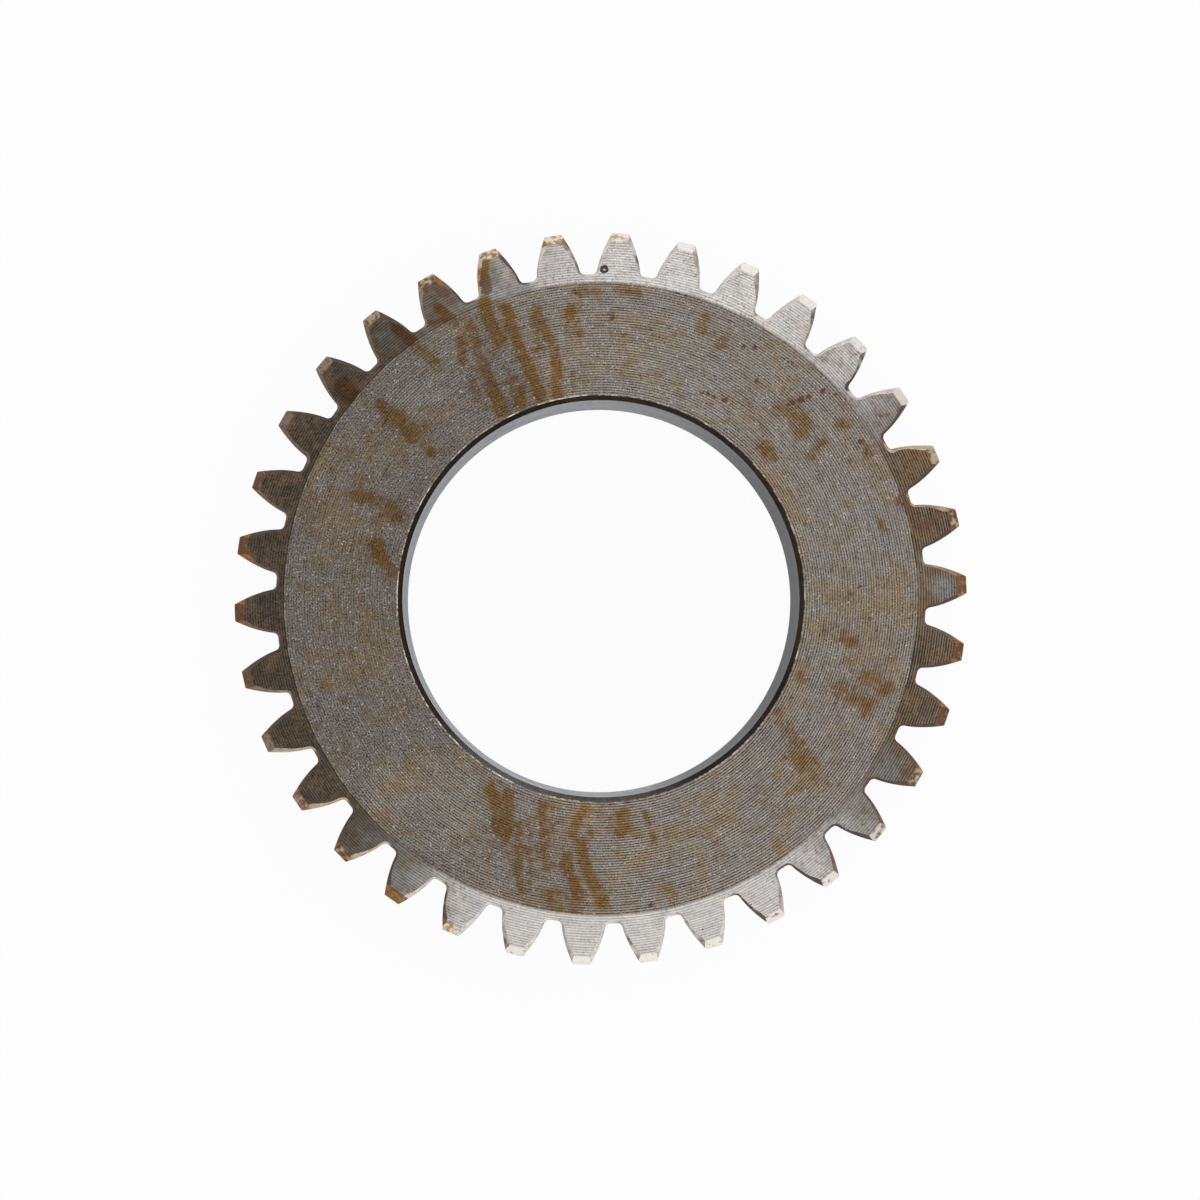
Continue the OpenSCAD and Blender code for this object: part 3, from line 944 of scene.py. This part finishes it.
def lip_material():
    """Rims of the bore chamfer and of the step: rubbed bright, with gaps."""
    g = Steel("bright_lip")
    patch = g.noise(g.mm, 0.35, 4.0, 0.65)
    grain = g.noise(g.mm, 2.2, 2.0, 0.6)
    tone = g.span(g.total(patch, g.sway(grain, 0.6)), 0.42, 0.7)
    colour = g.mix(tone, rgb(79, 70, 59), rgb(208, 201, 188))
    return g.finish(colour, 0.7, 0.38, grain, 0.008)


def gear_materials():
    """One material for each zone, in the order of the zone numbers."""
    return [
        thrust_material(),
        tooth_end_material(),
        tip_material(),
        edge_material(),
        mouth_material(),
        wall_material(),
        flank_material(),
        lip_material(),
    ]


def paint(points, strokes):
    """Value at each point from strokes of the form (half width, strength, pixel, pixel, ...)."""
    value = np.zeros(len(points))
    for half_width, strength, *pixels in strokes:
        path = np.array([from_photo(*pixel) for pixel in pixels])
        if len(path) == 1:
            path = np.concatenate([path, path + [DOT_LENGTH, 0]])
        away = np.full(len(points), np.inf)
        for start, end in zip(path[:-1], path[1:]):
            step = end - start
            along = np.clip(((points - start) @ step) / (step @ step), 0, 1)
            away = np.minimum(away, np.linalg.norm(points - start - along[:, None] * step, axis=1))
        away = away / (half_width * MM_PER_PX)
        core = np.clip(STROKE_END - away, 0, 1)
        halo = HALO_STRENGTH * np.clip(1 - away / HALO_END, 0, 1)
        value = np.maximum(value, strength * np.maximum(core, halo))
    return value


def back_strokes(random, count, longest, half_widths, strengths):
    """Strokes for the back face, of the kind that the front one has, drawn at random."""
    strokes = []
    for _ in range(count):
        angle, r = random.uniform(0, 2 * math.pi), random.uniform(*BACK_RADII_PX)
        lean, reach = angle + random.uniform(-LEAN, LEAN), random.uniform(SHORTEST_PX, longest)
        x, y = CENTRE_PX[0] + r * math.cos(angle), CENTRE_PX[1] - r * math.sin(angle)
        end = (x + reach * math.cos(lean), y - reach * math.sin(lean))
        strokes.append((random.uniform(*half_widths), random.uniform(*strengths), (x, y), end))
    return strokes


def paint_gear(mesh):
    """Gives the mesh its stain, rust and film values; the film value paints shade and highlight too."""
    random = np.random.RandomState(SEED + 1)
    count = len(mesh.vertices)
    points = np.empty(count * 3)
    mesh.vertices.foreach_get("co", points)
    points = points.reshape(-1, 3) / MM
    flat = points[:, :2]
    front = points[:, 2] > HALF_WIDTH
    radius = np.linalg.norm(flat, axis=1)
    heading = np.arctan2(flat[:, 1], flat[:, 0])

    stain = np.where(front, paint(flat, STAINS), paint(flat, back_strokes(random, *BACK_STAINS)))
    rust = np.where(front, paint(flat, RUST_SPOTS), paint(flat, back_strokes(random, *BACK_RUST)))

    # Film, with its painted shade and highlight, and tip rust go by the heading, tooth by tooth
    film_and_shade = np.interp(heading / PITCH % TEETH, np.arange(TEETH + 1), FILM_AND_SHADE + FILM_AND_SHADE[:1])
    tip = np.array(TIP_RUST)[np.round(heading / PITCH).astype(int) % TEETH]
    near_tip = np.clip((radius - TIP_EDGE_R + TIP_FADE) / TIP_FADE, 0, 1)
    rust = np.maximum(rust, tip * near_tip)
    for name, value in (("stain", stain), ("rust", rust), ("film_and_shade", film_and_shade)):
        layer = mesh.attributes.new(name, "FLOAT", "POINT")
        layer.data.foreach_set("value", value.astype(np.float32))


def add_object(name, data):
    made = bpy.data.objects.new(name, data)
    bpy.context.scene.collection.objects.link(made)
    return made


def build_gear():
    mesh = gear_mesh()
    gear = add_object("gear_surface", mesh)
    for material in gear_materials():
        mesh.materials.append(material)
    paint_gear(mesh)
    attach(gear, BODY)
    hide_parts(NODE)


def build_camera():
    """Looks down from a little left of and below the gear's centre, as the photograph does."""
    data = bpy.data.cameras.new("camera")
    camera = add_object("camera", data)
    top = 2 * HALF_WIDTH
    place = Vector((*from_image(*CAMERA_FOOT), top + CAMERA_RISE)) * MM
    aim = Vector((*from_image(*CAMERA_AIM), top - AIM_DEPTH)) * MM
    back = (place - aim).normalized()
    up = Vector((math.sin(TOOTH_TURN), math.cos(TOOTH_TURN), 0))
    right = up.cross(back).normalized()
    turn = Matrix((right, back.cross(right), back)).transposed()
    camera.matrix_world = Matrix.Translation(place) @ turn.to_4x4()
    data.lens = LENS
    data.clip_start = 0.01
    data.clip_end = 10
    bpy.context.scene.camera = camera


def build_floor():
    """Pale floor that is nearly white to the camera but keeps the shadow."""
    mesh = bpy.data.meshes.new("floor")
    corners = [(x * FLOOR_HALF, y * FLOOR_HALF, 0) for x, y in ((-1, -1), (1, -1), (1, 1), (-1, 1))]
    mesh.from_pydata(corners, [], [(0, 1, 2, 3)])
    floor = add_object("floor", mesh)
    floor.location.z = -FLOOR_GAP * MM
    g = Graph(bpy.data.materials.new("floor"))
    share = g.maths("MULTIPLY", g.seen(), FLOOR_WHITE)
    diffuse = g.node("ShaderNodeBsdfDiffuse", {"Color": FLOOR_COLOUR})
    white = g.node("ShaderNodeEmission", {"Color": WHITE, "Strength": 1.0})
    both = g.node("ShaderNodeMixShader", {0: share, 1: diffuse.outputs[0], 2: white.outputs[0]})
    g.node("ShaderNodeOutputMaterial", {"Surface": both.outputs[0]})
    mesh.materials.append(g.owner)


def build_world():
    """Even light from all round, and white to the camera, to reflections and through glass."""
    world = bpy.data.worlds.new("studio")
    bpy.context.scene.world = world
    g = Graph(world)
    dim = g.node("ShaderNodeBackground", {"Color": WHITE, "Strength": WORLD_LIGHT})
    bright = g.node("ShaderNodeBackground", {"Color": WHITE, "Strength": 1.0})
    both = g.node("ShaderNodeMixShader", {0: g.seen(), 1: dim.outputs[0], 2: bright.outputs[0]})
    g.node("ShaderNodeOutputWorld", {"Surface": both.outputs[0]})


def build_soft_box(name, azimuth, elevation, distance, side, power):
    """A square soft box that faces the origin from that direction."""
    data = bpy.data.lights.new(name, "AREA")
    data.size = side
    data.energy = power
    lamp = add_object(name, data)
    a, e = math.radians(azimuth), math.radians(elevation)
    out = Vector((math.cos(a) * math.cos(e), math.sin(a) * math.cos(e), math.sin(e)))
    lamp.location = out * distance
    lamp.rotation_mode = "QUATERNION"
    lamp.rotation_quaternion = out.to_track_quat("Z", "Y")


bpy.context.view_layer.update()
bpy.context.scene.view_settings.view_transform = "Standard"
build_gear()
build_camera()
build_floor()
build_world()
for box in SOFT_BOXES:
    build_soft_box(*box)
